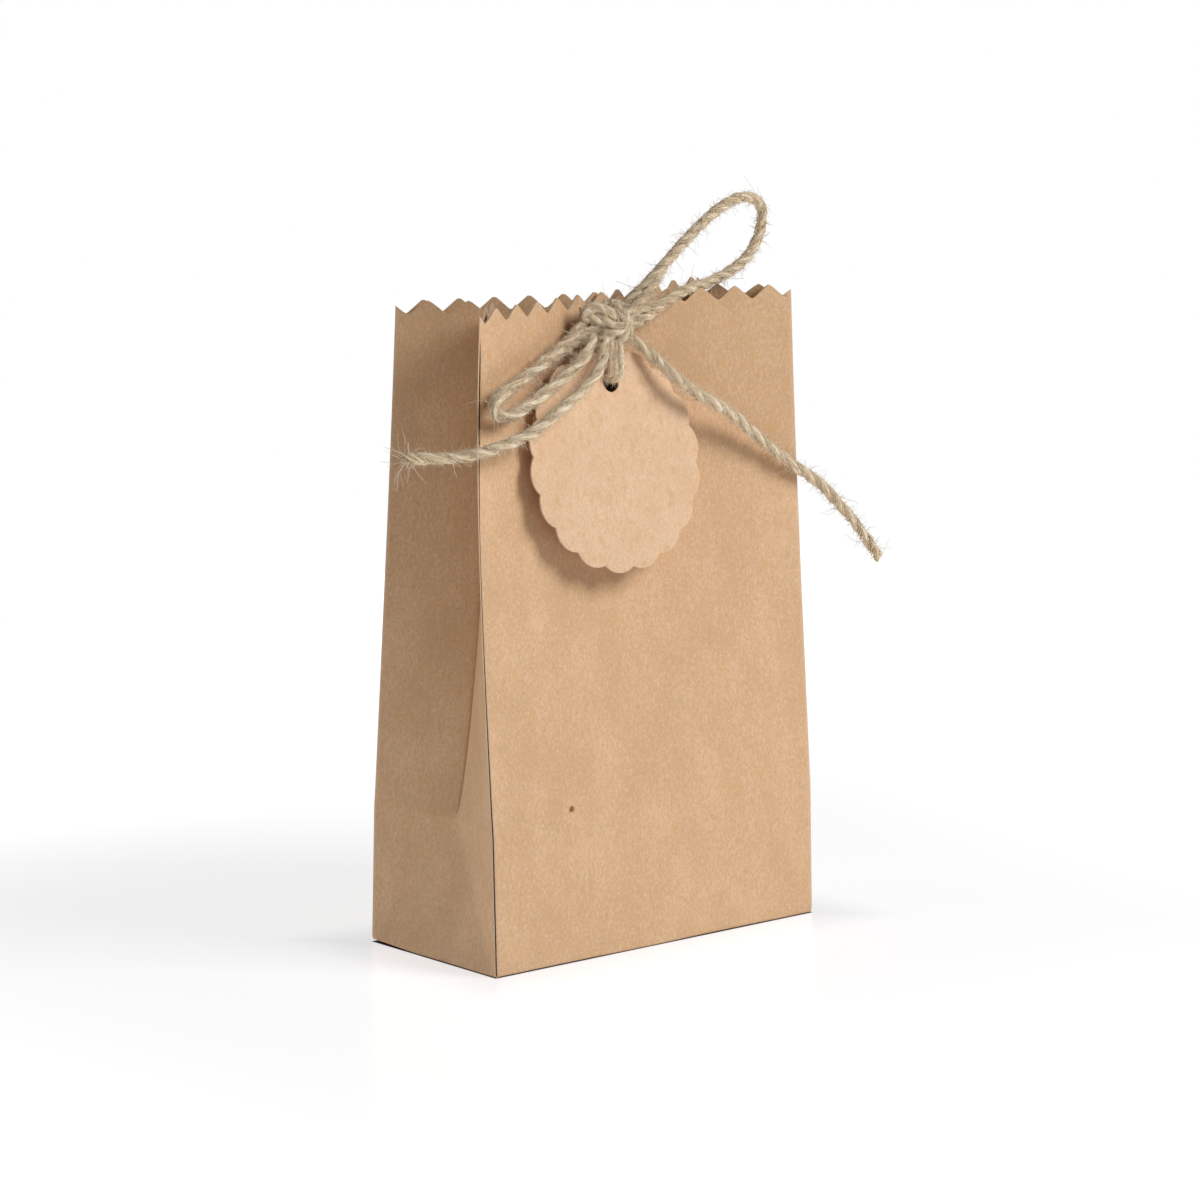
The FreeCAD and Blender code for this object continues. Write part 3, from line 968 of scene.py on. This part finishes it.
    # the diagonal creases run from point to point
    firstRows = {round(bag["apex"] * share, 5): share for share in shares}
    rowOf = {round(z, 5): j for j, z in enumerate(rows)}
    columnOf = {round(s, 4): i for i, s in enumerate(columns)}
    for base in (width, 2 * width + depth):
        for mirror in (False, True):
            chain = []
            for d in half:
                if d < bag["diagonalStart"]:
                    continue
                share = (d - bag["diagonalStart"]) / (halfDepth - bag["diagonalStart"])
                s = base + (depth - d if mirror else d)
                spot = (columnOf.get(round(s, 4)), rowOf.get(round(bag["apex"] * share, 5)))
                chain.append(where.get(spot))
            for a, b in zip(chain, chain[1:]):
                if a and b:
                    shared = set(a.link_faces) & set(b.link_faces)
                    if len(shared) == 1 and not any(b in edge.verts for edge in a.link_edges):
                        bmesh.utils.face_split(shared.pop(), a, b)

    # the tie's holes, punched and rounded
    radius = bag["holeRadius"] * mm
    centres = [Vector((side * bag["holeAt"] * mm, 0, bag["holeHeight"] * mm)) for side in (-1, 1)]

    def fromHole(v):
        best = min(centres, key=lambda c: math.hypot(v.co.x - c.x, v.co.z - c.z))
        return math.hypot(v.co.x - best.x, v.co.z - best.z), best

    inside = [v for v in bm.verts if abs(v.co.x) < 9 * mm and fromHole(v)[0] < radius * 0.96]
    bmesh.ops.delete(bm, geom=inside, context="VERTS")
    for v in bm.verts:
        if v.is_boundary and abs(v.co.x) < 10 * mm:
            away, centre = fromHole(v)
            if away < radius * 1.6 and v.co.z < (bag["height"] - 1.7) * mm:
                share = radius / away
                v.co.x = centre.x + (v.co.x - centre.x) * share
                v.co.z = centre.z + (v.co.z - centre.z) * share
    mesh = bpy.data.meshes.new("bag_sheet")
    bm.to_mesh(mesh)
    bm.free()
    return mesh


def thickened(piece, thickness, offset, grouped=False):
    solid = piece.modifiers.new("thickness", "SOLIDIFY")
    solid.thickness = thickness * mm
    solid.offset = offset
    solid.use_even_offset = False
    if grouped:
        piece.vertex_groups.new(name="fullness")
        solid.vertex_group = "fullness"
    solid.material_offset_rim = 1
    mesh = bpy.data.meshes.new_from_object(
        piece.evaluated_get(bpy.context.evaluated_depsgraph_get()))
    piece.modifiers.clear()
    piece.data = mesh
    mesh.shade_smooth()
    mesh.set_sharp_from_angle(angle=math.radians(bag["sharpAngle"]))


shell = newPiece("bag_sheet", bagSheet(), "bag", [kraftFinish, edgeFinish],
                 ["front_panel", "back_panel", "left_gusset_front", "left_gusset_back",
                  "left_gusset_foot", "right_gusset_front", "right_gusset_back",
                  "right_gusset_foot", "glue_flap"])
thickened(shell, bag["card"], -1, grouped=True)
print("bag sheet", len(shell.data.polygons), "faces")

# ---- base flaps

flaps = {
    # sides of each flap, how far its free corners are cut back, and the layer it lies on
    "base_flap_front": {"x": (-48.9, 48.9), "y": (-22.75, 10.2), "cut": (0, 0, 9, 9), "layer": 0},
    "base_flap_back": {"x": (-48.8, 48.8), "y": (-10.2, 22.75), "cut": (9, 9, 0, 0), "layer": 1},
    "base_flap_left": {"x": (-48.6, -27.2), "y": (-22.6, 22.6), "cut": (0, 7, 7, 0), "layer": 2},
    "base_flap_right": {"x": (27.2, 48.6), "y": (-22.6, 22.6), "cut": (7, 0, 0, 7), "layer": 2},
}
flapClearance = 0.02
flapEdgeRound = 0.08


def baseFlap(name, flap):
    (x0, x1), (y0, y1) = flap["x"], flap["y"]
    corners = [(x0, y0), (x1, y0), (x1, y1), (x0, y1)]
    bm = bmesh.new()
    outline = []
    for index, (corner, cut) in enumerate(zip(corners, flap["cut"])):
        here = Vector(corner)
        if cut == 0:
            outline.append(here)
            continue
        for other in (corners[index - 1], corners[(index + 1) % 4]):
            outline.append(here + (Vector(other) - here).normalized() * cut)
    low = flap["layer"] * bag["card"] + flapClearance
    face = bm.faces.new([bm.verts.new(Vector((p.x, p.y, low)) * mm) for p in outline])
    raised = bmesh.ops.extrude_face_region(bm, geom=[face])["geom"]
    up = Vector((0, 0, (bag["card"] - flapClearance) * mm))
    bmesh.ops.translate(bm, vec=up, verts=[g for g in raised if isinstance(g, bmesh.types.BMVert)])
    bmesh.ops.bevel(bm, geom=bm.edges[:], offset=flapEdgeRound * mm, segments=2, profile=0.5,
                    affect="EDGES", material=-1)
    bmesh.ops.recalc_face_normals(bm, faces=bm.faces)
    for side in bm.faces:
        side.material_index = 0 if abs(side.normal.z) > 0.9 else 1
    mesh = bpy.data.meshes.new(name)
    bm.to_mesh(mesh)
    bm.free()
    newPiece(name + "_card", mesh, "bag", [kraftFinish, edgeFinish], [name])


for name, flap in flaps.items():
    baseFlap(name, flap)
print("base flaps made")

# ---- the scalloped tag

tag = {
    "radius": 26.6,
    "scallops": 18,
    "depth": 1.35,
    "hole": 2.5,
    "holeInset": 8.3,
    "card": 0.45,
    "at": (-5.25, -11.9, 133.9),
    "roll": 6.5,
    "lean": 11.3,
    "turn": 2.1,
    "stepsPerScallop": 10,
    "rings": 26,
    "ringGrowth": 1.15,
    "curl": 0.5,
    "warp": 0.4,
    "warpLength": 22,
}


def tagMesh():
    around = tag["scallops"] * tag["stepsPerScallop"]
    valley = tag["radius"] - tag["depth"]
    chord = 2 * valley * math.sin(math.pi / tag["scallops"])
    rise = tag["radius"] - valley * math.cos(math.pi / tag["scallops"])
    bow = (chord ** 2 / 4 + rise ** 2) / (2 * rise)
    place = Matrix.Translation(Vector(tag["at"])) @ Matrix.Rotation(
        math.radians(tag["turn"]), 4, "Z") @ Matrix.Rotation(
        math.radians(90 - tag["lean"]), 4, "X") @ Matrix.Rotation(
        -math.radians(tag["roll"]), 4, "Z")

    def rim(angle):
        # each scallop is an arc through its two valleys and its tip
        pitch = 2 * math.pi / tag["scallops"]
        off = (angle % pitch) - pitch / 2
        middle = tag["radius"] - bow
        radius = middle * math.cos(off) + math.sqrt(max(0.0, bow ** 2 - (middle * math.sin(off)) ** 2))
        return Vector((math.cos(angle), math.sin(angle))) * radius

    def spot(i, j):
        angle = 2 * math.pi * (i % around) / around
        share = 1 - (1 - j / tag["rings"]) ** tag["ringGrowth"]
        inner = Vector((math.cos(angle), math.sin(angle))) * tag["hole"]
        outer = rim(angle) + Vector((0, tag["holeInset"] - tag["radius"]))
        flat = inner.lerp(outer, share)
        fromMiddle = flat - Vector((0, tag["holeInset"] - tag["radius"]))
        curl = tag["curl"] * ((fromMiddle.x / tag["radius"]) ** 2 - 0.3
                              + tag["warp"] * wriggle(flat.x / tag["warpLength"],
                                                      flat.y / tag["warpLength"], 1.5))
        return place @ Vector((flat.x, flat.y, curl)) * mm

    bm = bmesh.new()
    gridMesh(bm, around, tag["rings"], spot, True)
    mesh = bpy.data.meshes.new("hang_tag")
    bm.to_mesh(mesh)
    bm.free()
    return mesh


tagEdge = edgeMaterial("tagCutEdge", tagPaper["edge"])
hangTag = newPiece("hang_tag_card", tagMesh(), "tag", [tagFinish, tagEdge],
                   ["hang_tag"])
thickened(hangTag, tag["card"], 0)
print("tag made")

# ---- floor and light

studio = {
    "floorSize": 0.9,
    "floorColour": (0.36, 0.36, 0.37),
    "floorRoughness": 0.22,
    "floorGlow": 1.1,
    # the floor's glow is dimmer near the bag, painted shade, and the floor is near black under the
    # bag, painted shadow
    "shadedNearFloor": (0.61, 0.61, 0.625),
    "middleFloor": (0.73, 0.73, 0.73),
    "farFloor": (1, 1, 1),
    "shadowUnderBag": (0.02, 0.02, 0.03),
    "footprint": (0.0499, 0.0234),
    # where each tone of the floor gives way to the next, from the edge of the footprint
    "edgeBand": (-0.0002, 0.0003),
    "nearBand": (-0.001, 0.02),
    "farBand": (0.05, 0.3),
    "aim": (0, 0, 0.08),
    "ambient": 0.055,
    "key": {"at": (0.37, -0.68, 0.66), "size": 0.44, "power": 7.1},
    "fill": {"at": (-0.95, 0.95, 0.5), "size": 0.8, "power": 4.3},
}


def makeFloor():
    bm = bmesh.new()
    bmesh.ops.create_grid(bm, x_segments=8, y_segments=8, size=studio["floorSize"] / 2)
    mesh = bpy.data.meshes.new("floor")
    bm.to_mesh(mesh)
    bm.free()
    g = Graph("floorWhite")
    # the floor is near black and has no glow under the bag, painted shadow, and its glow is dimmer
    # near the bag, painted shade
    place = g.node("SeparateXYZ", None, {0: g.node("TexCoord", output=3)})
    sides = [Wire(g, place.socket.node.outputs[k]) for k in (0, 1)]
    beyond = [g.node("Math", {"operation": "ABSOLUTE"}, {0: side}) - half
              for side, half in zip(sides, studio["footprint"])]
    away = g.node("Math", {"operation": "MAXIMUM"}, {0: beyond[0], 1: beyond[1]})
    outside, nearby, distant = [g.band(away, *studio[name])
                                for name in ("edgeBand", "nearBand", "farBand")]
    glow = g.blend(nearby, studio["shadedNearFloor"], studio["middleFloor"])
    glow = g.blend(distant, glow, studio["farFloor"])
    mesh.materials.append(g.finish({
        "Base Color": g.blend(outside, studio["shadowUnderBag"], studio["floorColour"]),
        "Roughness": studio["floorRoughness"], "Emission Color": g.blend(outside, (0, 0, 0), glow),
        "Emission Strength": studio["floorGlow"]}))
    floor = bpy.data.objects.new("floor", mesh)
    bpy.context.collection.objects.link(floor)


def makeLamp(name, lamp):
    data = bpy.data.lights.new(name, "AREA")
    data.shape = "SQUARE"
    data.size = lamp["size"]
    data.energy = lamp["power"]
    holder = bpy.data.objects.new(name, data)
    holder.location = lamp["at"]
    aim = Vector(studio["aim"]) - Vector(lamp["at"])
    holder.rotation_euler = aim.to_track_quat("-Z", "Y").to_euler()
    bpy.context.collection.objects.link(holder)


def makeSky():
    # white behind everything, and dimmer as light
    world = bpy.data.worlds.new("studio")
    bpy.context.scene.world = world
    world.use_nodes = True
    nodes, links = world.node_tree.nodes, world.node_tree.links
    nodes.clear()
    seen, glow = nodes.new("ShaderNodeBackground"), nodes.new("ShaderNodeBackground")
    seen.inputs["Strength"].default_value = 1.0
    seen.inputs["Color"].default_value = (1, 1, 1, 1)
    glow.inputs["Color"].default_value = (1, 1, 1, 1)
    glow.inputs["Strength"].default_value = studio["ambient"]
    ray, mix = nodes.new("ShaderNodeLightPath"), nodes.new("ShaderNodeMixShader")
    output = nodes.new("ShaderNodeOutputWorld")
    links.new(ray.outputs["Is Camera Ray"], mix.inputs[0])
    links.new(glow.outputs[0], mix.inputs[1])
    links.new(seen.outputs[0], mix.inputs[2])
    links.new(mix.outputs[0], output.inputs["Surface"])


makeFloor()
makeLamp("key", studio["key"])
makeLamp("fill", studio["fill"])
makeSky()
print("studio made")
